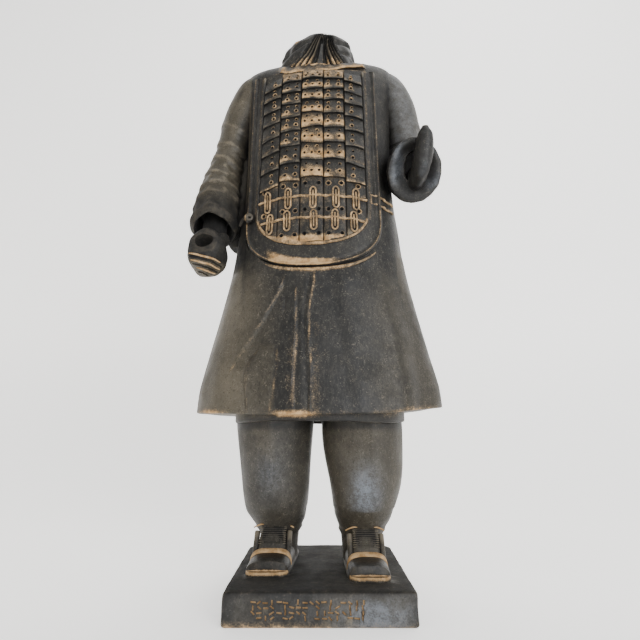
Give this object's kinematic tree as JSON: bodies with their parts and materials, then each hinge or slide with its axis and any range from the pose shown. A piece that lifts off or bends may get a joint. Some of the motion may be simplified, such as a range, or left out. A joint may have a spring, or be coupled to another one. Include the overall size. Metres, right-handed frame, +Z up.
{
  "type": "terracotta warrior statue",
  "caption": "Headless standing armoured figure in blackened fired clay, cast in one with its plinth, with an open neck socket and a pierced fist",
  "frame": {"origin": "centre of the plinth's underside", "axes": "+Z up, the figure faces -Y, its left hand is on +X"},
  "size_m": [0.207, 0.1372, 0.4785],
  "materials": {
    "blackened_clay": "fired clay, blackened and burnished, with ochre clay rubbed bare on the raised carving"
  },
  "bodies": {
    "root": {"warrior": "blackened_clay"}
  },
  "joints": []
}
